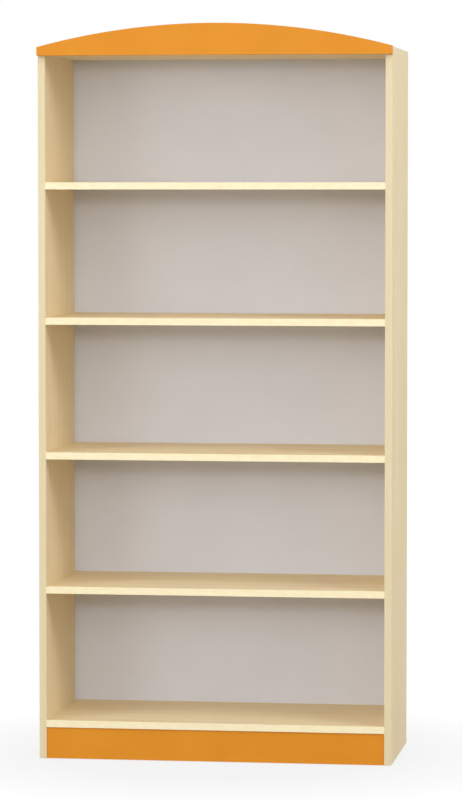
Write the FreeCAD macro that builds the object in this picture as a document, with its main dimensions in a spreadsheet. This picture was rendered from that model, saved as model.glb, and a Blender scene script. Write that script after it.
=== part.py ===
import FreeCAD, Part
import os
import re

import Sketcher
from FreeCAD import Placement, Rotation, Vector

# Toy storage shelf: a free-standing case of laminated board, open at the front,
# with five compartments, an arched crown board and a recessed plinth.
# Frame: X to the right seen from the front, Y to the back, Z up.
# The origin lies on the floor, under the middle of the overall box.

# Driving dimensions in millimetres.
DIMENSIONS = {
    # Case: side panels and horizontal boards, with their edge bands.
    "case_width": 900,
    "case_depth": 400,
    "case_height": 1804,
    "board_thickness": 18,
    "band_thickness": 1,
    "band_round": 0.5,
    "shelf_pitch": 342,
    # Plinth below the bottom board.
    "plinth_height": 80,
    "plinth_setback": 4,
    # Hardboard back, laid on the rear edges.
    "back_thickness": 3,
    "back_margin": 2,
    # Arched crown board in front of the case; its foot hangs just below the top board.
    "crown_thickness": 18,
    "crown_drop": 1.3,
    "crown_end_height": 21.5,
    "crown_rise": 58.5,
    # Cam joints between the horizontal boards and the side panels.
    "cam_inset": 50,
    "cam_setback": 34,
    "cam_diameter": 15,
    "cam_height": 12.5,
    "cam_slot_length": 8,
    "cam_slot_width": 1.6,
    "cam_slot_depth": 2.5,
    "bolt_thread_diameter": 5,
    "bolt_thread_length": 11,
    "bolt_shank_diameter": 7,
    "bolt_neck_diameter": 4.5,
    "bolt_neck_length": 3,
    "bolt_head_length": 3,
    "bolt_play": 0.5,
    "cap_diameter": 17,
    "cap_rim_height": 0.8,
    "cap_plug_height": 1.2,
    "cap_gap": 0.3,
    "fit_gap": 0.1,
    # Dowels beside the cams.
    "dowel_offset": 32,
    "dowel_diameter": 8,
    "dowel_length": 30,
    "dowel_in_side": 10,
    "dowel_chamfer": 1,
    "hole_end_gap": 0.5,
    # Nails of the back.
    "nail_diameter": 1.6,
    "nail_length": 20,
    "nail_point": 2,
    "nail_head_diameter": 3.6,
    "nail_head_height": 0.6,
    "nail_end_gap": 30,
    # Glides under the side panels, each on a pin.
    "glide_diameter": 16,
    "glide_height": 3,
    "glide_chamfer": 0.8,
    "glide_inset": 40,
    "glide_recess_depth": 1.6,
    "glide_recess_gap": 0.4,
    "pin_diameter": 2,
    "pin_length": 14,
    "pin_point": 2,
    "pin_head_diameter": 5,
    "pin_head_height": 1,
    # Steel angle brackets behind the crown and the plinth; the insets are from the case's sides.
    "steel_thickness": 2,
    "bend_radius": 1,
    "bracket_leg": 25,
    "bracket_width": 20,
    "bracket_hole_diameter": 4,
    "bracket_hole_offset": 15,
    "crown_bracket_inset": 150,
    "plinth_bracket_inset": 250,
    "plinth_bracket_height": 36,
    # Wall brackets on the top, at the rear.
    "wall_bracket_leg": 36,
    "wall_bracket_height": 30,
    "wall_bracket_width": 40,
    "wall_bracket_spacing": 500,
    "wall_hole_diameter": 6,
    "wall_hole_height": 18,
    "wall_screw_offset": 24,
    "wall_screw_spacing": 20,
    # Screws of all brackets.
    "screw_diameter": 3.5,
    "screw_length": 14,
    "screw_point": 3,
    "screw_head_diameter": 6.5,
    "screw_head_height": 2,
    "screw_slot_length": 3.6,
    "screw_slot_width": 0.9,
    "screw_slot_depth": 1.2,
}

SHELF_COUNT = 4
SIDE_NAILS = 12
BOARD_NAILS = 5

# Lengths and planes that follow from the driving dimensions.
INNER_WIDTH = "(case_width - 2 * board_thickness)"
CORE_DEPTH = "(case_depth - band_thickness)"
SIDE_CORE_HEIGHT = "(case_height - band_thickness)"
FRONT = "((crown_thickness - case_depth - back_thickness - nail_head_height) / 2)"
CORE_FRONT = f"({FRONT} + band_thickness)"
BACK_FRONT = f"({FRONT} + case_depth)"
REAR = f"({FRONT} + case_depth + back_thickness)"
OUTER_LEFT = "(-case_width / 2)"
INNER_LEFT = "(board_thickness - case_width / 2)"
INNER_RIGHT = "(case_width / 2 - board_thickness)"
CASE_TOP = "(glide_height + case_height)"
PLINTH_REAR = f"({FRONT} + plinth_setback + board_thickness)"
PLINTH_BRACKET_Z = "(glide_height + plinth_bracket_height)"
BACK_BOTTOM = "(plinth_height + back_margin)"
CAM_RECESS = "(cap_plug_height + cap_gap)"
CAM_POCKET_DEPTH = f"(cam_height + {CAM_RECESS})"
BOLT_BORE = "(bolt_shank_diameter + 2 * bolt_play)"
SCREW_DEPTH = "(screw_length - steel_thickness + hole_end_gap)"
NAIL_DEPTH = "(nail_length - back_thickness + hole_end_gap)"
BAND_ROUND = "min(band_round, 0.8 * band_thickness)"

# Crown arc through both ends and the peak, and the same arc moved inwards by the band.
CROWN_RADIUS = "((case_width ^ 2 / 4 + crown_rise ^ 2) / (2 * crown_rise))"
CROWN_CENTRE = f"(crown_end_height + crown_rise - {CROWN_RADIUS})"
BOARD_RADIUS = f"({CROWN_RADIUS} - band_thickness)"
BOARD_HALF = "(case_width / 2 - band_thickness)"
BOARD_END = f"({CROWN_CENTRE} + sqrt({BOARD_RADIUS} ^ 2 - {BOARD_HALF} ^ 2))"

# Underside of each horizontal board above the foot of the side panels.
LEVELS = {"bottom_panel": "plinth_height"}
for number in range(1, SHELF_COUNT + 1):
    LEVELS[f"shelf_{number}"] = f"(plinth_height + {number} * shelf_pitch)"
LEVELS["top_panel"] = "(case_height - board_thickness)"

# Rows of fittings, measured back from the front of the board's core.
CAM_ROWS = ["cam_inset", f"({CORE_DEPTH} - cam_inset)"]
DOWEL_ROWS = ["(cam_inset + dowel_offset)", f"({CORE_DEPTH} - cam_inset - dowel_offset)"]
GLIDE_ROWS = {"front": "glide_inset", "rear": f"({CORE_DEPTH} - glide_inset)"}

# Nails up the sides, from the foot of the panel, and along a board, from its left end.
SIDE_NAIL_ROWS = [
    f"(plinth_height + nail_end_gap + {step} * "
    f"(case_height - plinth_height - 2 * nail_end_gap) / {SIDE_NAILS - 1})"
    for step in range(SIDE_NAILS)
]
BOARD_NAIL_ROWS = [
    f"({INNER_WIDTH} * {2 * step + 1} / {2 * BOARD_NAILS})" for step in range(BOARD_NAILS)
]

UPRIGHT = Rotation()
UPSIDE_DOWN = Rotation(Vector(1, 0, 0), 180)
TO_RIGHT = Rotation(Vector(0, 1, 0), 90)
TO_LEFT = Rotation(Vector(0, 1, 0), -90)
TO_BACK = Rotation(Vector(1, 0, 0), -90)
TURNED_ROUND = Rotation(Vector(0, 0, 1), 180)
ROLLED_OVER = Rotation(Vector(0, 1, 0), 180)

doc = FreeCAD.newDocument("ToyShelf")
sheet = doc.addObject("Spreadsheet::Sheet", "Dims")
for row, (alias, millimetres) in enumerate(DIMENSIONS.items(), start=1):
    sheet.set(f"A{row}", alias)
    sheet.set(f"B{row}", str(millimetres))
    sheet.setAlias(f"B{row}", alias)
doc.recompute()

nodes = []


def bind(target, prop, formula):
    def cell(match):
        word = match.group()
        return f"Dims.{word}" if word in DIMENSIONS else word

    target.setExpression(prop, re.sub(r"[a-z_]+", cell, formula))


def place(target, x, y, z):
    bind(target, "Placement.Base.x", x)
    bind(target, "Placement.Base.y", y)
    bind(target, "Placement.Base.z", z)


def new_body(label):
    body = doc.addObject("PartDesign::Body", label)
    body.Label = label
    return body


def sketch_on(body, role, offset="0"):
    # Sketch parallel to one of the body's origin planes, offset along its normal.
    plane = next(item for item in body.Origin.OriginFeatures if item.Role == role)
    sketch = body.newObject("Sketcher::SketchObject", f"{body.Name}_sketch")
    sketch.AttachmentSupport = (plane, [""])
    sketch.MapMode = "FlatFace"
    bind(sketch, "AttachmentOffset.Base.z", offset)
    return sketch


def fix_point(sketch, geometry, point, x, y):
    # Ties a point to its distances from the sketch origin.
    for kind, axis, formula in (("DistanceX", -2, x), ("DistanceY", -1, y)):
        if formula == "0":
            sketch.addConstraint(Sketcher.Constraint("PointOnObject", geometry, point, axis))
            continue
        index = sketch.addConstraint(Sketcher.Constraint(kind, -1, 1, geometry, point, 1.0))
        name = f"{kind}_{geometry}"
        sketch.renameConstraint(index, name)
        bind(sketch, f"Constraints.{name}", formula)


def polygon(sketch, corners):
    first = sketch.GeometryCount
    total = len(corners)
    for index in range(total):
        start = Vector(index, index ** 2, 0)
        end = Vector(index + 1, (index + 1) ** 2, 0)
        sketch.addGeometry(Part.LineSegment(start, end), False)
    for index, (x, y) in enumerate(corners):
        line = first + index
        after = first + (index + 1) % total
        sketch.addConstraint(Sketcher.Constraint("Coincident", line, 2, after, 1))
        fix_point(sketch, line, 1, x, y)


def rectangle(sketch, width, height):
    polygon(sketch, [("0", "0"), (width, "0"), (width, height), ("0", height)])


def pad(body, sketch, length, along_normal=True):
    feature = body.newObject("PartDesign::Pad", f"{body.Name}_pad")
    feature.Profile = sketch
    feature.Reversed = not along_normal
    bind(feature, "Length", length)
    return feature


def pocket(body, sketch, depth, along_normal):
    feature = body.newObject("PartDesign::Pocket", f"{body.Name}_pocket")
    feature.Profile = sketch
    feature.Reversed = along_normal
    bind(feature, "Length", depth)
    return feature


def drill(body, role, offset, spots, diameter, depth, along_normal):
    # Equal round holes at the given spots of one plane.
    sketch = sketch_on(body, role, offset)
    for index, (x, y) in enumerate(spots):
        sketch.addGeometry(Part.Circle(Vector(index, index, 0), Vector(0, 0, 1), 1.0), False)
        fix_point(sketch, index, 3, x, y)
        if index:
            sketch.addConstraint(Sketcher.Constraint("Equal", 0, index))
        else:
            size = sketch.addConstraint(Sketcher.Constraint("Diameter", 0, 1.0))
            sketch.renameConstraint(size, "bore")
            bind(sketch, "Constraints.bore", diameter)
    return pocket(body, sketch, depth, along_normal)


def cross_slot(body, offset, length, width, depth, along_normal):
    # Cross-shaped driver slot in a face square to Z.
    near = f"({width} / 2)"
    far = f"({length} / 2)"
    quarter = [(far, near), (near, near), (near, far)]
    corners = []
    for x, y in quarter:
        corners.append((x, y))
    for x, y in reversed(quarter):
        corners.append((f"-{x}", y))
    for x, y in quarter:
        corners.append((f"-{x}", f"-{y}"))
    for x, y in reversed(quarter):
        corners.append((x, f"-{y}"))
    sketch = sketch_on(body, "XY_Plane", offset)
    polygon(sketch, corners)
    return pocket(body, sketch, depth, along_normal)


def dress_edges(body, kind, size, wanted):
    # Fillet or chamfer on the edges of the shape so far whose bounding box is wanted.
    doc.recompute()
    base = body.Tip
    names = []
    for index, edge in enumerate(base.Shape.Edges, start=1):
        if wanted(edge.BoundBox):
            names.append(f"Edge{index}")
    feature = body.newObject(f"PartDesign::{kind}", f"{body.Name}_dressed")
    feature.Base = (base, names)
    bind(feature, "Radius" if kind == "Fillet" else "Size", size)
    return feature


def near(first, second):
    return abs(first - second) < 1e-6


def in_front(box):
    return near(box.YMin, 0) and near(box.YMax, 0)


def turned(label, outline):
    # Round piece about the Z axis, from half its section as (radius, height).
    body = new_body(label)
    sketch = sketch_on(body, "XZ_Plane")
    polygon(sketch, outline)
    feature = body.newObject("PartDesign::Revolution", f"{label}_turned")
    feature.Profile = sketch
    feature.ReferenceAxis = (sketch, ["V_Axis"])
    feature.Angle = 360
    return body


def copies(label, pattern, spots):
    # Group of equal pieces: one node, one solid for each spot.
    links = []
    for number, (x, y, z, turn) in enumerate(spots, start=1):
        link = doc.addObject("App::Link", f"{label}_{number}")
        link.LinkedObject = pattern
        link.Placement = Placement(Vector(), turn)
        place(link, x, y, z)
        links.append(link)
    group = doc.addObject("Part::Compound", label)
    group.Label = label
    group.Links = links
    nodes.append(group)


def side_panel(side):
    # Upright board; its holes are drilled from the face towards the compartments.
    body = new_body(f"side_panel_{side}")
    left = side == "left"
    sketch = sketch_on(body, "YZ_Plane")
    rectangle(sketch, CORE_DEPTH, SIDE_CORE_HEIGHT)
    pad(body, sketch, "board_thickness")
    inner_face = "board_thickness" if left else "0"
    middles = [f"({under} + board_thickness / 2)" for under in LEVELS.values()]
    bolt_spots = [(row, middle) for middle in middles for row in CAM_ROWS]
    bolt_depth = "(bolt_thread_length + hole_end_gap)"
    drill(body, "YZ_Plane", inner_face, bolt_spots, "bolt_thread_diameter", bolt_depth, not left)
    dowel_spots = [(row, middle) for middle in middles for row in DOWEL_ROWS]
    dowel_depth = "(dowel_in_side + hole_end_gap)"
    drill(body, "YZ_Plane", inner_face, dowel_spots, "dowel_diameter", dowel_depth, not left)
    screw_row = "(plinth_setback + board_thickness + bracket_hole_offset - band_thickness)"
    screw_spots = [(screw_row, "plinth_bracket_height")]
    drill(body, "YZ_Plane", inner_face, screw_spots, "screw_diameter", SCREW_DEPTH, not left)
    nail_spots = [("board_thickness / 2", row) for row in SIDE_NAIL_ROWS]
    drill(body, "XZ_Plane", f"-{CORE_DEPTH}", nail_spots, "nail_diameter", NAIL_DEPTH, True)
    pin_spots = [("board_thickness / 2", row) for row in GLIDE_ROWS.values()]
    pin_depth = "(pin_length - glide_height + glide_recess_depth + hole_end_gap)"
    drill(body, "XY_Plane", "0", pin_spots, "pin_diameter", pin_depth, True)
    place(body, OUTER_LEFT if left else INNER_RIGHT, CORE_FRONT, "glide_height")
    nodes.append(body)


def side_bands(side):
    # Front band over the full height, and a band on the top edge behind it.
    x = OUTER_LEFT if side == "left" else INNER_RIGHT
    front = new_body(f"side_band_{side}")
    sketch = sketch_on(front, "XY_Plane")
    rectangle(sketch, "board_thickness", "band_thickness")
    pad(front, sketch, "case_height")
    dress_edges(front, "Fillet", BAND_ROUND, lambda box: in_front(box) and near(box.XLength, 0))
    place(front, x, FRONT, "glide_height")
    nodes.append(front)
    top = new_body(f"side_top_band_{side}")
    sketch = sketch_on(top, "XY_Plane")
    rectangle(sketch, "board_thickness", CORE_DEPTH)
    pad(top, sketch, "band_thickness")
    place(top, x, CORE_FRONT, f"({CASE_TOP} - band_thickness)")
    nodes.append(top)


def level_board(label, under, cams_above):
    # Horizontal board between the side panels, bored for cams, bolts, dowels and nails.
    body = new_body(label)
    sketch = sketch_on(body, "XY_Plane")
    rectangle(sketch, INNER_WIDTH, CORE_DEPTH)
    pad(body, sketch, "board_thickness")
    middle = "(board_thickness / 2)"
    bolt_spots = [(row, middle) for row in CAM_ROWS]
    dowel_spots = [(row, middle) for row in DOWEL_ROWS]
    dowel_depth = "(dowel_length - dowel_in_side + hole_end_gap)"
    for end, inwards in (("0", True), (INNER_WIDTH, False)):
        drill(body, "YZ_Plane", end, bolt_spots, BOLT_BORE, "cam_setback", inwards)
        drill(body, "YZ_Plane", end, dowel_spots, "dowel_diameter", dowel_depth, inwards)
    columns = ["cam_setback", f"({INNER_WIDTH} - cam_setback)"]
    cam_spots = [(column, row) for column in columns for row in CAM_ROWS]
    cam_bore = "(cam_diameter + 2 * fit_gap)"
    cam_face = "board_thickness" if cams_above else "0"
    drill(body, "XY_Plane", cam_face, cam_spots, cam_bore, CAM_POCKET_DEPTH, not cams_above)
    nail_spots = [(row, middle) for row in BOARD_NAIL_ROWS]
    drill(body, "XZ_Plane", f"-{CORE_DEPTH}", nail_spots, "nail_diameter", NAIL_DEPTH, True)
    place(body, INNER_LEFT, CORE_FRONT, f"(glide_height + {under})")
    nodes.append(body)
    return body


def level_band(label, under):
    # Band on the front edge of a horizontal board.
    body = new_body(label)
    sketch = sketch_on(body, "YZ_Plane")
    rectangle(sketch, "band_thickness", "board_thickness")
    pad(body, sketch, INNER_WIDTH)
    dress_edges(body, "Fillet", BAND_ROUND, lambda box: in_front(box) and near(box.ZLength, 0))
    place(body, INNER_LEFT, FRONT, f"(glide_height + {under})")
    nodes.append(body)


def crown_outline(sketch, inset, end_height, radius):
    # Straight foot and ends, closed at the top by an arc from the right end to the left.
    first = sketch.GeometryCount
    width = DIMENSIONS["case_width"]
    end = DIMENSIONS["crown_end_height"]
    peak = end + DIMENSIONS["crown_rise"]
    foot_left = Vector(0, 0, 0)
    foot_right = Vector(width, 0, 0)
    end_right = Vector(width, end, 0)
    end_left = Vector(0, end, 0)
    sketch.addGeometry(Part.LineSegment(foot_left, foot_right), False)
    sketch.addGeometry(Part.LineSegment(foot_right, end_right), False)
    sketch.addGeometry(Part.Arc(end_right, Vector(width / 2, peak, 0), end_left), False)
    sketch.addGeometry(Part.LineSegment(end_left, foot_left), False)
    right = f"(case_width - {inset})"
    corners = [(inset, inset), (right, inset), (right, end_height), (inset, end_height)]
    for index, (x, y) in enumerate(corners):
        after = first + (index + 1) % 4
        sketch.addConstraint(Sketcher.Constraint("Coincident", first + index, 2, after, 1))
        fix_point(sketch, first + index, 1, x, y)
    size = sketch.addConstraint(Sketcher.Constraint("Radius", first + 2, width))
    sketch.renameConstraint(size, f"radius_{first}")
    bind(sketch, f"Constraints.radius_{first}", radius)


def at_corner(box):
    return near(box.YMax, 0) and near(box.ZMax, 0)


def in_bend(box):
    flat = near(box.YLength, 0) and near(box.ZLength, 0)
    return flat and near(box.YMin, sheet.steel_thickness) and near(box.ZMin, sheet.steel_thickness)


def angle_bracket(label, leg_along, leg_up, width, along_spots, up_spots, up_diameter):
    # Bent steel angle: one leg lies along Y, the other stands along Z, centred on X.
    body = new_body(label)
    sketch = sketch_on(body, "YZ_Plane", f"-{width} / 2")
    steel = "steel_thickness"
    corners = [("0", "0"), (leg_along, "0"), (leg_along, steel)]
    corners += [(steel, steel), (steel, leg_up), ("0", leg_up)]
    polygon(sketch, corners)
    pad(body, sketch, width)
    dress_edges(body, "Fillet", "(bend_radius + steel_thickness)", at_corner)
    dress_edges(body, "Fillet", "bend_radius", in_bend)
    drill(body, "XY_Plane", "0", along_spots, "bracket_hole_diameter", steel, True)
    drill(body, "XZ_Plane", "0", up_spots, up_diameter, steel, False)
    return body


def corner_bracket(label, x, y, z, turn):
    holes = [("0", "bracket_hole_offset")]
    hole = "bracket_hole_diameter"
    body = angle_bracket(label, "bracket_leg", "bracket_leg", "bracket_width", holes, holes, hole)
    body.Placement = Placement(Vector(), turn)
    place(body, x, y, z)
    nodes.append(body)


for side in ("left", "right"):
    side_panel(side)
    side_bands(side)

boards = {}
for label, under in LEVELS.items():
    boards[label] = level_board(label, under, cams_above=label == "top_panel")
    level_band(f"{label}_band", under)

# Crown: board with an arched top, inside a band that goes all the way round it.
crown_z = "(glide_height + case_height - board_thickness - crown_drop)"
crown_columns = {
    "left": "(crown_bracket_inset - case_width / 2)",
    "centre": "0",
    "right": "(case_width / 2 - crown_bracket_inset)",
}
crown = new_body("crown_board")
sketch = sketch_on(crown, "XZ_Plane")
crown_outline(sketch, "band_thickness", BOARD_END, BOARD_RADIUS)
pad(crown, sketch, "crown_thickness")
crown_spots = [
    (f"(case_width / 2 + {column})", "(crown_drop + board_thickness + bracket_hole_offset)")
    for column in crown_columns.values()
]
drill(crown, "XZ_Plane", "0", crown_spots, "screw_diameter", SCREW_DEPTH, True)
place(crown, OUTER_LEFT, FRONT, crown_z)
nodes.append(crown)


def on_crown_rim(box):
    # Outer edges of the band's front face.
    in_face = near(box.YMin, -sheet.crown_thickness) and near(box.YMax, -sheet.crown_thickness)
    peak = sheet.crown_end_height + sheet.crown_rise
    return in_face and (near(box.ZMin, 0) or near(box.ZMax, peak))


crown_band = new_body("crown_band")
sketch = sketch_on(crown_band, "XZ_Plane")
crown_outline(sketch, "0", "crown_end_height", CROWN_RADIUS)
crown_outline(sketch, "band_thickness", BOARD_END, BOARD_RADIUS)
pad(crown_band, sketch, "crown_thickness")
dress_edges(crown_band, "Chamfer", BAND_ROUND, on_crown_rim)
place(crown_band, OUTER_LEFT, FRONT, crown_z)
nodes.append(crown_band)

# Plinth: upright board between the side panels, set back under the bottom board.
plinth_columns = {
    "left": "(plinth_bracket_inset - case_width / 2)",
    "right": "(case_width / 2 - plinth_bracket_inset)",
}
plinth = new_body("plinth_board")
sketch = sketch_on(plinth, "XZ_Plane")
rectangle(sketch, INNER_WIDTH, "plinth_height")
pad(plinth, sketch, "board_thickness", along_normal=False)
plinth_spots = [
    (f"({INNER_WIDTH} / 2 + {column})", "(plinth_height - bracket_hole_offset)")
    for column in plinth_columns.values()
]
plinth_spots.append(("bracket_hole_offset", "plinth_bracket_height"))
plinth_spots.append((f"({INNER_WIDTH} - bracket_hole_offset)", "plinth_bracket_height"))
drill(plinth, "XZ_Plane", "-board_thickness", plinth_spots, "screw_diameter", SCREW_DEPTH, True)
place(plinth, INNER_LEFT, f"({FRONT} + plinth_setback)", "glide_height")
nodes.append(plinth)

# Back: hardboard sheet on the rear edges, just inside the outline of the case.
back = new_body("back_panel")
sketch = sketch_on(back, "XZ_Plane")
rectangle(sketch, "(case_width - 2 * back_margin)", f"(case_height - back_margin - {BACK_BOTTOM})")
pad(back, sketch, "back_thickness", along_normal=False)
back_columns = ["(board_thickness / 2 - back_margin)", "(case_width - board_thickness / 2 - back_margin)"]
back_spots = [(column, f"({row} - {BACK_BOTTOM})") for column in back_columns for row in SIDE_NAIL_ROWS]
for under in LEVELS.values():
    for row in BOARD_NAIL_ROWS:
        x = f"(board_thickness + {row} - back_margin)"
        back_spots.append((x, f"({under} + board_thickness / 2 - {BACK_BOTTOM})"))
drill(back, "XZ_Plane", "0", back_spots, "nail_diameter", "back_thickness", False)
place(back, "(back_margin - case_width / 2)", BACK_FRONT, f"(glide_height + {BACK_BOTTOM})")
nodes.append(back)

# Screw holes for the brackets in the top board and in the underside of the bottom board.
top_spots = [
    (f"({INNER_WIDTH} / 2 + {column})", "(bracket_hole_offset - band_thickness)")
    for column in crown_columns.values()
]
wall_columns = {"left": "-wall_bracket_spacing / 2", "right": "wall_bracket_spacing / 2"}
wall_screw_columns = [
    f"({column} + {sign}wall_screw_spacing / 2)" for column in wall_columns.values() for sign in ("-", "")
]
for column in wall_screw_columns:
    row = f"({CORE_DEPTH} + back_thickness - wall_screw_offset)"
    top_spots.append((f"({INNER_WIDTH} / 2 + {column})", row))
drill(boards["top_panel"], "XY_Plane", "board_thickness", top_spots, "screw_diameter", SCREW_DEPTH, False)
bottom_row = "(plinth_setback + board_thickness + bracket_hole_offset - band_thickness)"
bottom_spots = [(f"({INNER_WIDTH} / 2 + {column})", bottom_row) for column in plinth_columns.values()]
drill(boards["bottom_panel"], "XY_Plane", "0", bottom_spots, "screw_diameter", SCREW_DEPTH, True)

# Angle brackets behind the crown, behind the plinth, and at the rear for the wall.
plinth_top = "(glide_height + plinth_height)"
for name, column in crown_columns.items():
    corner_bracket(f"crown_bracket_{name}", column, FRONT, CASE_TOP, UPRIGHT)
for name, column in plinth_columns.items():
    corner_bracket(f"plinth_bracket_under_{name}", column, PLINTH_REAR, plinth_top, ROLLED_OVER)
corner_bracket("plinth_bracket_side_left", INNER_LEFT, PLINTH_REAR, PLINTH_BRACKET_Z, TO_RIGHT)
corner_bracket("plinth_bracket_side_right", INNER_RIGHT, PLINTH_REAR, PLINTH_BRACKET_Z, TO_LEFT)
for name, column in wall_columns.items():
    screw_holes = [
        ("-wall_screw_spacing / 2", "wall_screw_offset"),
        ("wall_screw_spacing / 2", "wall_screw_offset"),
    ]
    wall_holes = [("0", "wall_hole_height")]
    body = angle_bracket(
        f"wall_bracket_{name}",
        "wall_bracket_leg",
        "wall_bracket_height",
        "wall_bracket_width",
        screw_holes,
        wall_holes,
        "wall_hole_diameter",
    )
    body.Placement = Placement(Vector(), TURNED_ROUND)
    place(body, column, REAR, CASE_TOP)
    nodes.append(body)

# Glides under the side panels.
glide_recess = "(pin_head_diameter / 2 + glide_recess_gap)"
glide_outline = [
    ("pin_diameter / 2", "glide_recess_depth"),
    (glide_recess, "glide_recess_depth"),
    (glide_recess, "0"),
    ("(glide_diameter / 2 - glide_chamfer)", "0"),
    ("glide_diameter / 2", "glide_chamfer"),
    ("glide_diameter / 2", "glide_height"),
    ("pin_diameter / 2", "glide_height"),
]
glide_columns = {
    "left": "(board_thickness / 2 - case_width / 2)",
    "right": "(case_width / 2 - board_thickness / 2)",
}
glide_spots = {
    f"{end}_{side}": (x, f"({CORE_FRONT} + {row})")
    for side, x in glide_columns.items()
    for end, row in GLIDE_ROWS.items()
}
for name, (x, y) in glide_spots.items():
    glide = turned(f"glide_{name}", glide_outline)
    place(glide, x, y, "0")
    nodes.append(glide)

# Patterns for the fasteners, each along Z, and their groups.
pin_end = "(pin_head_height + pin_length)"
pin = turned("pin_pattern", [
    ("0", "0"),
    ("pin_head_diameter / 2", "0"),
    ("pin_head_diameter / 2", "pin_head_height"),
    ("pin_diameter / 2", "pin_head_height"),
    ("pin_diameter / 2", f"({pin_end} - pin_point)"),
    ("0", pin_end),
])
copies("glide_pins", pin, [
    (x, y, "(glide_recess_depth - pin_head_height)", UPRIGHT) for x, y in glide_spots.values()
])

nail_top = "(nail_length + nail_head_height)"
nail = turned("nail_pattern", [
    ("0", "0"),
    ("nail_diameter / 2", "nail_point"),
    ("nail_diameter / 2", "nail_length"),
    ("nail_head_diameter / 2", "nail_length"),
    ("nail_head_diameter / 2", nail_top),
    ("0", nail_top),
])
nail_y = f"({REAR} - nail_length)"
nail_spots = [
    (x, nail_y, f"(glide_height + {row})", TO_BACK) for x in glide_columns.values() for row in SIDE_NAIL_ROWS
]
for under in LEVELS.values():
    for row in BOARD_NAIL_ROWS:
        z = f"(glide_height + {under} + board_thickness / 2)"
        nail_spots.append((f"({INNER_LEFT} + {row})", nail_y, z, TO_BACK))
copies("back_nails", nail, nail_spots)

screw_top = "(screw_length + screw_head_height)"
screw = turned("screw_pattern", [
    ("0", "0"),
    ("screw_diameter / 2", "screw_point"),
    ("screw_diameter / 2", "screw_length"),
    ("screw_head_diameter / 2", "screw_length"),
    ("screw_head_diameter / 2", "(screw_length + screw_head_height / 2)"),
    ("(screw_head_diameter / 2 - screw_head_height / 2)", screw_top),
    ("0", screw_top),
])
cross_slot(screw, screw_top, "screw_slot_length", "screw_slot_width", "screw_slot_depth", False)
screw_lift = "(steel_thickness - screw_length)"
crown_screws = []
for column in crown_columns.values():
    row = f"({FRONT} + bracket_hole_offset)"
    crown_screws.append((column, row, f"({CASE_TOP} + {screw_lift})", UPRIGHT))
    crown_screws.append((column, f"({FRONT} + {screw_lift})", f"({CASE_TOP} + bracket_hole_offset)", TO_BACK))
copies("crown_bracket_screws", screw, crown_screws)

plinth_y = f"({PLINTH_REAR} + {screw_lift})"
plinth_row = f"({PLINTH_REAR} + bracket_hole_offset)"
plinth_screws = []
for column in plinth_columns.values():
    plinth_screws.append((column, plinth_row, f"({plinth_top} - {screw_lift})", UPSIDE_DOWN))
    plinth_screws.append((column, plinth_y, f"({plinth_top} - bracket_hole_offset)", TO_BACK))
plinth_screws.append((f"({INNER_LEFT} + {screw_lift})", plinth_row, PLINTH_BRACKET_Z, TO_RIGHT))
plinth_screws.append((f"({INNER_RIGHT} - {screw_lift})", plinth_row, PLINTH_BRACKET_Z, TO_LEFT))
plinth_screws.append((f"({INNER_LEFT} + bracket_hole_offset)", plinth_y, PLINTH_BRACKET_Z, TO_BACK))
plinth_screws.append((f"({INNER_RIGHT} - bracket_hole_offset)", plinth_y, PLINTH_BRACKET_Z, TO_BACK))
copies("plinth_bracket_screws", screw, plinth_screws)

wall_screw_row = f"({REAR} - wall_screw_offset)"
copies("wall_bracket_screws", screw, [
    (column, wall_screw_row, f"({CASE_TOP} + {screw_lift})", UPRIGHT) for column in wall_screw_columns
])

dowel = turned("dowel_pattern", [
    ("0", "0"),
    ("(dowel_diameter / 2 - dowel_chamfer)", "0"),
    ("dowel_diameter / 2", "dowel_chamfer"),
    ("dowel_diameter / 2", "(dowel_length - dowel_chamfer)"),
    ("(dowel_diameter / 2 - dowel_chamfer)", "dowel_length"),
    ("0", "dowel_length"),
])

bolt_shank_end = "(bolt_thread_length + cam_setback - bolt_neck_length - bolt_head_length)"
bolt_neck_end = f"({bolt_shank_end} + bolt_neck_length)"
bolt_end = "(bolt_thread_length + cam_setback)"
bolt = turned("bolt_pattern", [
    ("0", "0"),
    ("bolt_thread_diameter / 2", "0"),
    ("bolt_thread_diameter / 2", "bolt_thread_length"),
    ("bolt_shank_diameter / 2", "bolt_thread_length"),
    ("bolt_shank_diameter / 2", bolt_shank_end),
    ("bolt_neck_diameter / 2", bolt_shank_end),
    ("bolt_neck_diameter / 2", bolt_neck_end),
    ("bolt_shank_diameter / 2", bolt_neck_end),
    ("bolt_shank_diameter / 2", bolt_end),
    ("0", bolt_end),
])

# Cam disc: driver slot in its lower face, and a side bore, towards the left, for the bolt's head.
cam = turned("cam_pattern", [
    ("0", "0"),
    ("cam_diameter / 2", "0"),
    ("cam_diameter / 2", "cam_height"),
    ("0", "cam_height"),
])
cross_slot(cam, "0", "cam_slot_length", "cam_slot_width", "cam_slot_depth", True)
cam_bolt_height = f"(board_thickness / 2 - {CAM_RECESS})"
cam_bore_reach = f"({BOLT_BORE} / 2 + cam_diameter / 2)"
drill(cam, "YZ_Plane", f"{BOLT_BORE} / 2", [("0", cam_bolt_height)], BOLT_BORE, cam_bore_reach, False)

cap_top = "(cap_rim_height + cap_plug_height)"
cap = turned("cap_pattern", [
    ("0", "0"),
    ("(cap_diameter / 2 - cap_rim_height / 2)", "0"),
    ("cap_diameter / 2", "cap_rim_height / 2"),
    ("cap_diameter / 2", "cap_rim_height"),
    ("(cam_diameter / 2 - fit_gap)", "cap_rim_height"),
    ("(cam_diameter / 2 - fit_gap)", cap_top),
    ("0", cap_top),
])

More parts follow.
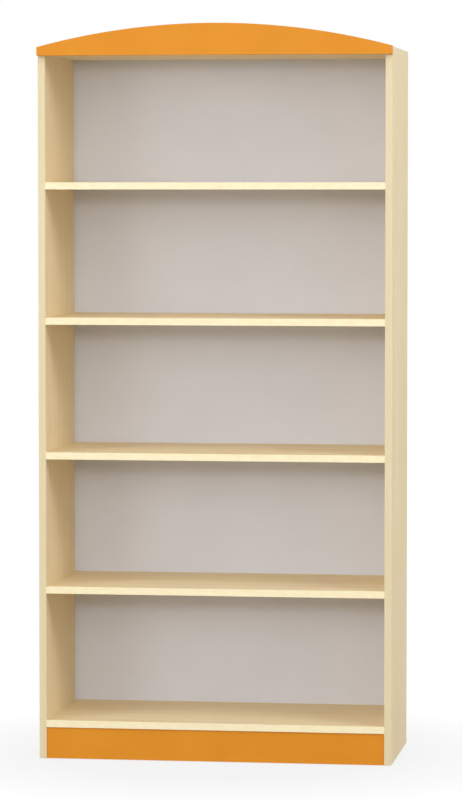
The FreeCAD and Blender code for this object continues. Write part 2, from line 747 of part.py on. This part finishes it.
dowel_spots = []
bolt_spots = []
cam_spots = []
cap_spots = []
for label, under in LEVELS.items():
    middle = f"(glide_height + {under} + board_thickness / 2)"
    for row in DOWEL_ROWS:
        y = f"({CORE_FRONT} + {row})"
        dowel_spots.append((f"({INNER_LEFT} - dowel_in_side)", y, middle, TO_RIGHT))
        dowel_spots.append((f"({INNER_RIGHT} + dowel_in_side)", y, middle, TO_LEFT))
    for row in CAM_ROWS:
        y = f"({CORE_FRONT} + {row})"
        left = f"({INNER_LEFT} + cam_setback)"
        right = f"({INNER_RIGHT} - cam_setback)"
        bolt_spots.append((f"({INNER_LEFT} - bolt_thread_length)", y, middle, TO_RIGHT))
        bolt_spots.append((f"({INNER_RIGHT} + bolt_thread_length)", y, middle, TO_LEFT))
        if label == "top_panel":
            z = f"({CASE_TOP} - {CAM_RECESS})"
            cam_spots.append((left, y, z, UPSIDE_DOWN))
            cam_spots.append((right, y, z, ROLLED_OVER))
            continue
        z = f"(glide_height + {under} + {CAM_RECESS})"
        cam_spots.append((left, y, z, UPRIGHT))
        cam_spots.append((right, y, z, TURNED_ROUND))
        if label != "bottom_panel":
            z = f"(glide_height + {under} - cap_rim_height)"
            cap_spots.append((left, y, z, UPRIGHT))
            cap_spots.append((right, y, z, UPRIGHT))
copies("dowels", dowel, dowel_spots)
copies("cam_bolts", bolt, bolt_spots)
copies("cam_discs", cam, cam_spots)
copies("cam_caps", cap, cap_spots)

doc.recompute()
for item in doc.Objects:
    if "Invalid" in item.State or "Error" in item.State:
        raise RuntimeError(f"{item.Label} failed: {item.State}")
    if item.TypeId == "PartDesign::Pocket":
        removed = item.BaseFeature.Shape.Volume - item.Shape.Volume
        if removed < 0.01:
            raise RuntimeError(f"{item.Label} removes nothing")
for node in nodes:
    if node.Shape.isNull() or not node.Shape.isValid():
        raise RuntimeError(f"{node.Label} has no valid shape")

os.makedirs("parts", exist_ok=True)
for node in nodes:
    node.Shape.exportStep(f"parts/{node.Label}.step")
print(f"{len(nodes)} nodes, {sum(len(node.Shape.Solids) for node in nodes)} solids")
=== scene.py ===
import math
import bpy
from mathutils import Color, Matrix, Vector

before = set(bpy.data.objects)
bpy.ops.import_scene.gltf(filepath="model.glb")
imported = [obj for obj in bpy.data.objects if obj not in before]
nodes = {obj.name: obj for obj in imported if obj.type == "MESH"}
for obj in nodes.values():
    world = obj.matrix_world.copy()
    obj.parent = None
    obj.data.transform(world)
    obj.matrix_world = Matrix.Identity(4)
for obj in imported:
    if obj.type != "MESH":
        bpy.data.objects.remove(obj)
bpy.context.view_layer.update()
print("frame loaded:", len(nodes), "nodes")


# small helpers for node trees

def srgb(red, green, blue):
    # screen values from 0 to 255, turned into the linear light that shaders take
    colour = Color((red / 255, green / 255, blue / 255)).from_srgb_to_scene_linear()
    return (*colour, 1.0)


def addNode(tree, kind, values=None, **settings):
    node = tree.nodes.new(kind)
    for name, value in settings.items():
        setattr(node, name, value)
    for socket, value in (values or {}).items():
        node.inputs[socket].default_value = value
    return node


def link(tree, source, target):
    tree.links.new(source, target)


def feed(tree, socket, value):
    # an output is linked, a plain value is set
    if isinstance(value, bpy.types.NodeSocket):
        link(tree, value, socket)
    else:
        socket.default_value = value


def mathNode(tree, operation, first, second=0.0):
    node = addNode(tree, "ShaderNodeMath", operation=operation)
    feed(tree, node.inputs[0], first)
    feed(tree, node.inputs[1], second)
    return node.outputs["Value"]


mixSockets = {"RGBA": (6, 7, 2), "FLOAT": (2, 3, 0)}  # where a Mix node has its A, B and Result


def mixNode(tree, kind, factor, first, second):
    node = addNode(tree, "ShaderNodeMix", data_type=kind)
    socketA, socketB, result = mixSockets[kind]
    feed(tree, node.inputs["Factor"], factor)
    feed(tree, node.inputs[socketA], first)
    feed(tree, node.inputs[socketB], second)
    return node.outputs[result]


def mixColour(tree, factor, first, second):
    return mixNode(tree, "RGBA", factor, first, second)


def mixValue(tree, factor, first, second):
    return mixNode(tree, "FLOAT", factor, first, second)


def noise(tree, vector, scale, detail=2.0, roughness=0.5):
    node = addNode(tree, "ShaderNodeTexNoise", {"Detail": detail, "Roughness": roughness})
    link(tree, vector, node.inputs["Vector"])
    feed(tree, node.inputs["Scale"], scale)
    return node.outputs["Fac"]


noiseSpan = (0.3, 0.7)  # most values of a noise lie between these


def remap(tree, value, span=noiseSpan, target=(0.0, 1.0)):
    node = addNode(tree, "ShaderNodeMapRange")
    link(tree, value, node.inputs["Value"])
    for socket, limit in zip(("From Min", "From Max", "To Min", "To Max"), (*span, *target)):
        feed(tree, node.inputs[socket], limit)
    return node.outputs["Result"]


def newGroup(name, inputs, outputs):
    group = bpy.data.node_groups.new(name, "ShaderNodeTree")
    for side, sockets in (("INPUT", inputs), ("OUTPUT", outputs)):
        for socket, kind in sockets.items():
            group.interface.new_socket(name=socket, in_out=side, socket_type="NodeSocket" + kind)
    start = group.nodes.new("NodeGroupInput")
    end = group.nodes.new("NodeGroupOutput")
    return group, start, end


def useGroup(tree, group, vector, values):
    node = addNode(tree, "ShaderNodeGroup")
    node.node_tree = group
    for socket, value in values.items():
        node.inputs[socket].default_value = value
    link(tree, vector, node.inputs["Vector"])
    return node


# effects that several materials share

grainShape = {  # printed wood grain, with streaks along Z of the vector it is given
    "driftScale": 3.0, "sway": 0.012,  # how slowly and how far the streaks wander
    "fibreDetail": 3.0, "fibreRoughness": 0.6,
    "bandDetail": 4.0, "bandRoughness": 0.55,
    "poreDetail": 1.0, "poreRoughness": 0.4, "poresPerFibre": 1.7, "poreSpan": (0.62, 0.72),
}


def grainGroup(shape):
    group, start, end = newGroup(
        "printedGrain",
        {"Vector": "Vector", "Fibre Scale": "Float", "Band Scale": "Float", "Stretch": "Float"},
        {"Fibres": "Float", "Bands": "Float", "Pores": "Float"})
    split = addNode(group, "ShaderNodeSeparateXYZ")
    link(group, start.outputs["Vector"], split.inputs["Vector"])
    longWay = mathNode(group, "MULTIPLY", split.outputs["Z"], start.outputs["Stretch"])
    along = addNode(group, "ShaderNodeCombineXYZ")
    link(group, split.outputs["X"], along.inputs["X"])
    link(group, split.outputs["Y"], along.inputs["Y"])
    link(group, longWay, along.inputs["Z"])
    drift = addNode(group, "ShaderNodeTexNoise", {"Scale": shape["driftScale"]})
    link(group, start.outputs["Vector"], drift.inputs["Vector"])
    sway = addNode(group, "ShaderNodeVectorMath", {"Scale": shape["sway"]}, operation="SCALE")
    link(group, drift.outputs["Color"], sway.inputs[0])
    wander = addNode(group, "ShaderNodeVectorMath", operation="ADD")
    link(group, along.outputs["Vector"], wander.inputs[0])
    link(group, sway.outputs["Vector"], wander.inputs[1])
    streaks = wander.outputs["Vector"]
    fibreScale = start.outputs["Fibre Scale"]
    bandScale = start.outputs["Band Scale"]
    poreScale = mathNode(group, "MULTIPLY", fibreScale, shape["poresPerFibre"])
    fibres = noise(group, streaks, fibreScale, shape["fibreDetail"], shape["fibreRoughness"])
    bands = noise(group, streaks, bandScale, shape["bandDetail"], shape["bandRoughness"])
    pores = noise(group, streaks, poreScale, shape["poreDetail"], shape["poreRoughness"])
    link(group, remap(group, fibres), end.inputs["Fibres"])
    link(group, remap(group, bands), end.inputs["Bands"])
    link(group, remap(group, pores, shape["poreSpan"]), end.inputs["Pores"])
    return group


chipShape = {  # sawn chipboard: pressed flakes in mixed browns
    "dark": srgb(132, 96, 58), "middle": srgb(192, 156, 106), "light": srgb(222, 194, 148),
    "middlePlace": 0.45, "speck": srgb(168, 130, 84), "speckScale": 900.0,
    "speckSpan": (0.35, 0.7), "speckDepth": (0.0, 0.5),
}


def chipGroup(shape):
    group, start, end = newGroup(
        "sawnChipboard", {"Vector": "Vector", "Chip Scale": "Float"},
        {"Colour": "Color", "Height": "Float"})
    flake = addNode(group, "ShaderNodeTexVoronoi", feature="F1")
    link(group, start.outputs["Vector"], flake.inputs["Vector"])
    link(group, start.outputs["Chip Scale"], flake.inputs["Scale"])
    flakeTone = addNode(group, "ShaderNodeSeparateColor")
    link(group, flake.outputs["Color"], flakeTone.inputs["Color"])
    ramp = addNode(group, "ShaderNodeValToRGB")
    ramp.color_ramp.elements[0].color = shape["dark"]
    ramp.color_ramp.elements[1].color = shape["light"]
    ramp.color_ramp.elements.new(shape["middlePlace"]).color = shape["middle"]
    link(group, flakeTone.outputs["Red"], ramp.inputs["Fac"])
    speck = noise(group, start.outputs["Vector"], shape["speckScale"])
    specks = remap(group, speck, shape["speckSpan"], shape["speckDepth"])
    link(group, mixColour(group, specks, ramp.outputs["Color"], shape["speck"]), end.inputs["Colour"])
    link(group, mathNode(group, "ADD", flakeTone.outputs["Green"], speck), end.inputs["Height"])
    return group


handlingShape = {  # soft smudges that change the gloss a little, over a fine peel
    "cloudScale": 7.0, "cloudDetail": 5.0, "cloudRoughness": 0.6, "peelScale": 900.0, "spread": 0.05,
}


def handlingGroup(shape):
    group, start, end = newGroup(
        "handledGloss", {"Vector": "Vector", "Low": "Float", "High": "Float"},
        {"Roughness": "Float", "Peel": "Float"})
    vector = start.outputs["Vector"]
    cloud = noise(group, vector, shape["cloudScale"], shape["cloudDetail"], shape["cloudRoughness"])
    gloss = remap(group, cloud, target=(start.outputs["Low"], start.outputs["High"]))
    link(group, gloss, end.inputs["Roughness"])
    link(group, noise(group, vector, shape["peelScale"]), end.inputs["Peel"])
    return group


grain = grainGroup(grainShape)
chips = chipGroup(chipShape)
handling = handlingGroup(handlingShape)
print("shared effects ready")


# steps that the materials share

def newMaterial(name):
    material = bpy.data.materials.new(name)
    material.use_nodes = True
    tree = material.node_tree
    tree.nodes.clear()
    shader = addNode(tree, "ShaderNodeBsdfPrincipled")
    output = addNode(tree, "ShaderNodeOutputMaterial")
    link(tree, shader.outputs["BSDF"], output.inputs["Surface"])
    return material, tree, shader


grainTurns = {  # turns a board's own grain direction to Z
    "X": (0.0, math.radians(-90), 0.0),
    "Z": (0.0, 0.0, 0.0),
}


def turnGrain(tree, vector, grainAxis):
    turn = addNode(tree, "ShaderNodeMapping", {"Rotation": grainTurns[grainAxis]}, vector_type="POINT")
    link(tree, vector, turn.inputs["Vector"])
    return turn.outputs["Vector"]


def pieceCoordinates(tree):
    # "Object" is a point's place on the piece, and "Normal" the way its face points
    return addNode(tree, "ShaderNodeTexCoord").outputs


def faceDirection(tree, piece, axis):
    split = addNode(tree, "ShaderNodeSeparateXYZ")
    link(tree, piece["Normal"], split.inputs["Vector"])
    return split.outputs[axis]


def handledBy(tree, vector, roughness):
    # gloss that varies a little about one roughness
    spread = handlingShape["spread"]
    return useGroup(tree, handling, vector, {"Low": roughness - spread, "High": roughness + spread})


def cloudedTone(tree, vector, look):
    # two close tones in soft clouds
    cloud = noise(tree, vector, look["cloudScale"], look["cloudDetail"])
    return mixColour(tree, remap(tree, cloud), look["light"], look["dark"])


sawnLook = {"squareTo": 0.6, "chipScale": 420.0, "roughness": 0.9, "relief": 3.0}


def sawnEdges(tree, piece, faceAxis, tone, roughness, height):
    # bare chipboard on edges and in bores, and the given finish on the two faces square to faceAxis
    facing = mathNode(tree, "ABSOLUTE", faceDirection(tree, piece, faceAxis))
    sawn = mathNode(tree, "LESS_THAN", facing, sawnLook["squareTo"])
    core = useGroup(tree, chips, piece["Object"], {"Chip Scale": sawnLook["chipScale"]})
    relief = mathNode(tree, "MULTIPLY", core.outputs["Height"], sawnLook["relief"])
    tone = mixColour(tree, sawn, tone, core.outputs["Colour"])
    roughness = mixValue(tree, sawn, roughness, sawnLook["roughness"])
    height = mixValue(tree, sawn, height, relief)
    return tone, roughness, height


def finishSurface(tree, shader, look, tone, roughness, height):
    link(tree, tone, shader.inputs["Base Color"])
    link(tree, roughness, shader.inputs["Roughness"])
    bump = addNode(tree, "ShaderNodeBump", {"Strength": look["bump"], "Distance": look["bumpDepth"]})
    link(tree, height, bump.inputs["Height"])
    link(tree, bump.outputs["Normal"], shader.inputs["Normal"])
    for socket, value in look.get("fixed", {}).items():
        shader.inputs[socket].default_value = value


# materials

def laminateMaterial(name, look):
    material, tree, shader = newMaterial(name)
    piece = pieceCoordinates(tree)
    wood = useGroup(tree, grain, turnGrain(tree, piece["Object"], look["grainAxis"]), {
        "Fibre Scale": look["fibreScale"], "Band Scale": look["bandScale"], "Stretch": look["stretch"]})
    tone = mixColour(tree, wood.outputs["Bands"], look["light"], look["dark"])
    fibres = mathNode(tree, "MULTIPLY", wood.outputs["Fibres"], look["fibreDepth"])
    tone = mixColour(tree, fibres, tone, look["fibre"])
    pores = mathNode(tree, "MULTIPLY", wood.outputs["Pores"], look["poreDepth"])
    tone = mixColour(tree, pores, tone, look["pore"])
    handled = handledBy(tree, piece["Object"], look["roughness"])
    roughness = handled.outputs["Roughness"]
    ridges = mathNode(tree, "MULTIPLY", wood.outputs["Fibres"], look["ridges"])
    height = mathNode(tree, "ADD", ridges, handled.outputs["Peel"])
    if look["faceAxis"]:
        tone, roughness, height = sawnEdges(tree, piece, look["faceAxis"], tone, roughness, height)
    finishSurface(tree, shader, look, tone, roughness, height)
    return material


uprightLook = {  # side panels: maple print, grain upwards
    "grainAxis": "Z", "faceAxis": "X",
    "light": srgb(251, 234, 197), "dark": srgb(242, 221, 174),
    "fibre": srgb(235, 212, 167), "pore": srgb(222, 195, 149), "fibreDepth": 0.35, "poreDepth": 0.25,
    "fibreScale": 420.0, "bandScale": 80.0, "stretch": 0.02, "ridges": 0.6,
    "roughness": 0.58, "bump": 0.12, "bumpDepth": 0.0002, "fixed": {"Specular IOR Level": 0.15},
}
levelLook = dict(  # horizontal boards: grain along their length
    uprightLook, grainAxis="X", faceAxis="Z", bandScale=34.0,
    light=srgb(252, 236, 203), dark=srgb(241, 218, 169))
sideBandLook = dict(  # front and top edges of the sides
    uprightLook, faceAxis=None, light=srgb(234, 219, 182), dark=srgb(228, 212, 173),
    fibre=srgb(222, 203, 160), fibreDepth=0.25, roughness=0.52)
levelBandLook = dict(  # front edges of the boards: paler than the sides, with short flecks
    sideBandLook, grainAxis="X", light=srgb(255, 247, 210), dark=srgb(253, 235, 194),
    fibre=srgb(247, 228, 182), pore=srgb(240, 215, 164), stretch=0.45, bandScale=95.0)
dowelLook = dict(  # turned beech
    uprightLook, grainAxis="X", faceAxis=None, light=srgb(214, 178, 132), dark=srgb(200, 160, 112),
    fibre=srgb(178, 136, 90), pore=srgb(150, 108, 66), fibreDepth=0.5, poreDepth=0.5,
    fibreScale=900.0, bandScale=120.0, roughness=0.62)


def paintedBoardMaterial(name, look):
    # one-colour laminate with a fine peel
    material, tree, shader = newMaterial(name)
    piece = pieceCoordinates(tree)
    tone = cloudedTone(tree, piece["Object"], look)
    handled = handledBy(tree, piece["Object"], look["roughness"])
    roughness = handled.outputs["Roughness"]
    height = handled.outputs["Peel"]
    if look["faceAxis"]:
        tone, roughness, height = sawnEdges(tree, piece, look["faceAxis"], tone, roughness, height)
    finishSurface(tree, shader, look, tone, roughness, height)
    return material


orangeLook = {  # crown and plinth
    "light": srgb(227, 147, 38), "dark": srgb(223, 142, 35), "cloudScale": 9.0, "cloudDetail": 4.0,
    "faceAxis": "Y", "roughness": 0.52, "bump": 0.12, "bumpDepth": 0.0002,
    "fixed": {"Specular IOR Level": 0.15},
}
orangeBandLook = dict(orangeLook, faceAxis=None, roughness=0.48)


def hardboardMaterial(name, look):
    # lacquered in front, bare pressed fibre with its screen mark behind
    material, tree, shader = newMaterial(name)
    piece = pieceCoordinates(tree)
    vector = piece["Object"]
    bare = mathNode(tree, "GREATER_THAN", faceDirection(tree, piece, "Y"), look["frontLimit"])
    lacquer = cloudedTone(tree, vector, look)
    fibre = noise(tree, vector, look["fibreScale"], look["fibreDetail"], look["fibreRoughness"])
    pulp = mixColour(tree, remap(tree, fibre), look["bareDark"], look["bareLight"])
    waves = []
    for axis in ("X", "Z"):
        wave = addNode(tree, "ShaderNodeTexWave", {
            "Scale": look["screenScale"], "Distortion": look["screenDistortion"]}, bands_direction=axis)
        link(tree, vector, wave.inputs["Vector"])
        waves.append(wave.outputs["Fac"])
    screen = mathNode(tree, "MULTIPLY", waves[0], waves[1])
    marks = mathNode(tree, "MULTIPLY", screen, look["screenTone"])
    pulp = mixColour(tree, marks, pulp, look["bareDark"])
    handled = handledBy(tree, vector, look["roughness"])
    ridges = mathNode(tree, "MULTIPLY", screen, look["screenRelief"])
    relief = mathNode(tree, "ADD", ridges, fibre)
    tone = mixColour(tree, bare, lacquer, pulp)
    roughness = mixValue(tree, bare, handled.outputs["Roughness"], look["bareRoughness"])
    height = mixValue(tree, bare, handled.outputs["Peel"], relief)
    finishSurface(tree, shader, look, tone, roughness, height)
    return material


hardboardLook = {
    "light": srgb(224, 226, 236), "dark": srgb(220, 222, 232), "cloudScale": 5.0, "cloudDetail": 4.0,
    "roughness": 0.58, "bump": 0.15, "bumpDepth": 0.0003, "fixed": {"Specular IOR Level": 0.15},
    "frontLimit": -0.5,  # faces that point less to the front than this are bare
    "bareLight": srgb(186, 146, 104), "bareDark": srgb(150, 113, 76), "bareRoughness": 0.92,
    "fibreScale": 520.0, "fibreDetail": 6.0, "fibreRoughness": 0.7,
    "screenScale": 260.0, "screenDistortion": 0.6, "screenTone": 0.35, "screenRelief": 2.0,
}


def metalMaterial(name, look):
    # plated or die-cast metal: a faint crystal pattern and fine scratches
    material, tree, shader = newMaterial(name)
    vector = pieceCoordinates(tree)["Object"]
    crystal = addNode(tree, "ShaderNodeTexVoronoi", {"Scale": look["crystalScale"]}, feature="F1")
    link(tree, vector, crystal.inputs["Vector"])
    facet = addNode(tree, "ShaderNodeSeparateColor")
    link(tree, crystal.outputs["Color"], facet.inputs["Color"])
    tone = mixColour(tree, facet.outputs["Red"], look["light"], look["dark"])
    scratch = noise(tree, vector, look["scratchScale"], look["scratchDetail"], look["scratchRoughness"])
    roughness = remap(tree, scratch, target=look["roughness"])
    finishSurface(tree, shader, look, tone, roughness, scratch)
    return material


platedLook = {  # zinc plated steel
    "light": srgb(206, 208, 210), "dark": srgb(178, 181, 185), "crystalScale": 380.0,
    "scratchScale": 1400.0, "scratchDetail": 3.0, "scratchRoughness": 0.7, "roughness": (0.26, 0.44),
    "bump": 0.2, "bumpDepth": 0.00005, "fixed": {"Metallic": 0.95},
}
castLook = dict(  # die-cast zinc
    platedLook, light=srgb(186, 186, 184), dark=srgb(160, 160, 160), crystalScale=900.0,
    roughness=(0.42, 0.6), bump=0.4, fixed={"Metallic": 0.9})


def mouldedMaterial(name, look):
    # plain plastic with a fine peel
    material, tree, shader = newMaterial(name)
    vector = pieceCoordinates(tree)["Object"]
    tone = cloudedTone(tree, vector, look)
    handled = handledBy(tree, vector, look["roughness"])
    finishSurface(tree, shader, look, tone, handled.outputs["Roughness"], handled.outputs["Peel"])
    return material


capLook = {
    "light": srgb(232, 214, 174), "dark": srgb(226, 207, 166), "cloudScale": 60.0, "cloudDetail": 3.0,
    "roughness": 0.48, "bump": 0.25, "bumpDepth": 0.0001,
}
glideLook = dict(capLook, light=srgb(92, 70, 54), dark=srgb(82, 62, 48), roughness=0.55)

finishes = {
    "upright": laminateMaterial("mapleUpright", uprightLook),
    "level": laminateMaterial("mapleLevel", levelLook),
    "sideBand": laminateMaterial("mapleBand", sideBandLook),
    "levelBand": laminateMaterial("creamBand", levelBandLook),
    "dowel": laminateMaterial("beechDowel", dowelLook),
    "orange": paintedBoardMaterial("orangeLaminate", orangeLook),
    "orangeBand": paintedBoardMaterial("orangeBand", orangeBandLook),
    "hardboard": hardboardMaterial("paleHardboard", hardboardLook),
    "plated": metalMaterial("zincPlatedSteel", platedLook),
    "cast": metalMaterial("castZinc", castLook),
    "cap": mouldedMaterial("beigeCap", capLook),
    "glide": mouldedMaterial("brownGlide", glideLook),
}


def finishFor(name):
    if name.startswith("side_panel"):
        return "upright"
    if name.startswith(("side_band", "side_top_band")):
        return "sideBand"
    if name in ("crown_board", "plinth_board"):
        return "orange"
    if name == "crown_band":
        return "orangeBand"
    if name.endswith("_band"):
        return "levelBand"
    if name.startswith("shelf_") or name in ("top_panel", "bottom_panel"):
        return "level"
    if name == "back_panel":
        return "hardboard"
    if name == "dowels":
        return "dowel"
    if name == "cam_discs":
        return "cast"
    if name == "cam_caps":
        return "cap"
    if name.startswith("glide_") and name != "glide_pins":
        return "glide"
    return "plated"  # brackets, screws, bolts, nails and pins


for name, node in nodes.items():
    node.data.materials.clear()
    node.data.materials.append(finishes[finishFor(name)])
print("finishes on", len(nodes), "nodes")


# floor and light

def seenDirectly(tree):
    # 1 for what the camera, a mirror or glass shows, 0 for light on its way to a surface
    path = addNode(tree, "ShaderNodeLightPath")
    seen = mathNode(tree, "MAXIMUM", path.outputs["Is Camera Ray"], path.outputs["Is Glossy Ray"])
    return mathNode(tree, "MAXIMUM", seen, path.outputs["Is Transmission Ray"])


floorLook = {
    "reach": 12.0, "shade": (0.35, 0.35, 0.35, 1.0),
    "shadowStart": 0.45, "shadowEnd": 0.9, "shadow": 0.14,  # the shadow shows near the foot, and fades
}


def makeFloor(look):
    bpy.ops.mesh.primitive_plane_add(size=2 * look["reach"], location=(0, 0, 0))
    floor = bpy.context.object
    floor.name = "floor"
    material = bpy.data.materials.new("paleFloor")
    material.use_nodes = True
    tree = material.node_tree
    tree.nodes.clear()
    distance = addNode(tree, "ShaderNodeVectorMath", operation="LENGTH")
    link(tree, pieceCoordinates(tree)["Object"], distance.inputs[0])
    whiteness = remap(tree, distance.outputs["Value"], (look["shadowStart"], look["shadowEnd"]),
                      (1.0 - look["shadow"], 1.0))
    lit = addNode(tree, "ShaderNodeBsdfDiffuse", {"Color": look["shade"]})
    white = addNode(tree, "ShaderNodeEmission", {"Strength": 1.0})
    blend = addNode(tree, "ShaderNodeMixShader")
    link(tree, mathNode(tree, "MULTIPLY", seenDirectly(tree), whiteness), blend.inputs[0])
    link(tree, lit.outputs["BSDF"], blend.inputs[1])
    link(tree, white.outputs["Emission"], blend.inputs[2])
    output = addNode(tree, "ShaderNodeOutputMaterial")
    link(tree, blend.outputs["Shader"], output.inputs["Surface"])
    floor.data.materials.append(material)


makeFloor(floorLook)

lightLook = {
    "ambient": 0.68, "white": (1.0, 1.0, 1.0, 1.0), "aim": (0.0, 0.0, 1.0),
    "lamps": {  # watts, width and place of each soft box
        "frontKey": (110.0, 0.8, (-0.4, -10.0, 2.3)),
        "frontSoft": (107.0, 3.0, (0.0, -10.5, 3.5)),
        "frontLeft": (82.0, 3.0, (-4.5, -9.5, 2.2)),
        "leftTop": (84.0, 3.0, (-4.5, -4.0, 4.5)),
        "rightTop": (132.0, 3.0, (5.5, -3.0, 4.0)),
        "rearLeft": (90.0, 3.0, (-4.0, 6.5, 4.0)),
        "rearRight": (90.0, 3.0, (0.4, 7.5, 4.0)),
    },
}


def makeWorld(look):
    # even light from all round, in front of a white background
    world = bpy.data.worlds.new("studio")
    bpy.context.scene.world = world
    world.use_nodes = True
    tree = world.node_tree
    tree.nodes.clear()
    soft = addNode(tree, "ShaderNodeBackground", {"Color": look["white"], "Strength": look["ambient"]})
    plain = addNode(tree, "ShaderNodeBackground", {"Color": look["white"], "Strength": 1.0})
    blend = addNode(tree, "ShaderNodeMixShader")
    link(tree, seenDirectly(tree), blend.inputs[0])
    link(tree, soft.outputs["Background"], blend.inputs[1])
    link(tree, plain.outputs["Background"], blend.inputs[2])
    output = addNode(tree, "ShaderNodeOutputWorld")
    link(tree, blend.outputs["Shader"], output.inputs["Surface"])


def areaLight(name, power, width, place, aim):
    data = bpy.data.lights.new(name, "AREA")
    data.energy = power
    data.shape = "DISK"
    data.size = width
    lamp = bpy.data.objects.new(name, data)
    lamp.location = place
    lamp.rotation_euler = (Vector(aim) - Vector(place)).to_track_quat("-Z", "Y").to_euler()
    bpy.context.scene.collection.objects.link(lamp)


makeWorld(lightLook)
for name, (power, width, place) in lightLook["lamps"].items():
    areaLight(name, power, width, place, lightLook["aim"])
print("floor and light ready")


# camera at the photograph's viewing angle

cameraLook = {
    "focalPixels": 3780.87, "imageHeight": 800, "sensor": 36.0, "clipEnd": 100.0,
    "place": (1.38742, -9.60260, 1.46151), "yaw": -8.13183, "pitch": -3.24951,
}


def makeCamera(look):
    data = bpy.data.cameras.new("camera")
    data.sensor_width = look["sensor"]
    data.lens = look["sensor"] * look["focalPixels"] / look["imageHeight"]
    data.clip_end = look["clipEnd"]
    camera = bpy.data.objects.new("camera", data)
    camera.location = look["place"]
    tilt = math.radians(90 + look["pitch"])
    turn = math.radians(-look["yaw"])
    camera.rotation_euler = (tilt, 0.0, turn)
    bpy.context.scene.collection.objects.link(camera)
    bpy.context.scene.camera = camera


makeCamera(cameraLook)
bpy.context.scene.view_settings.view_transform = "Standard"
print("camera ready")
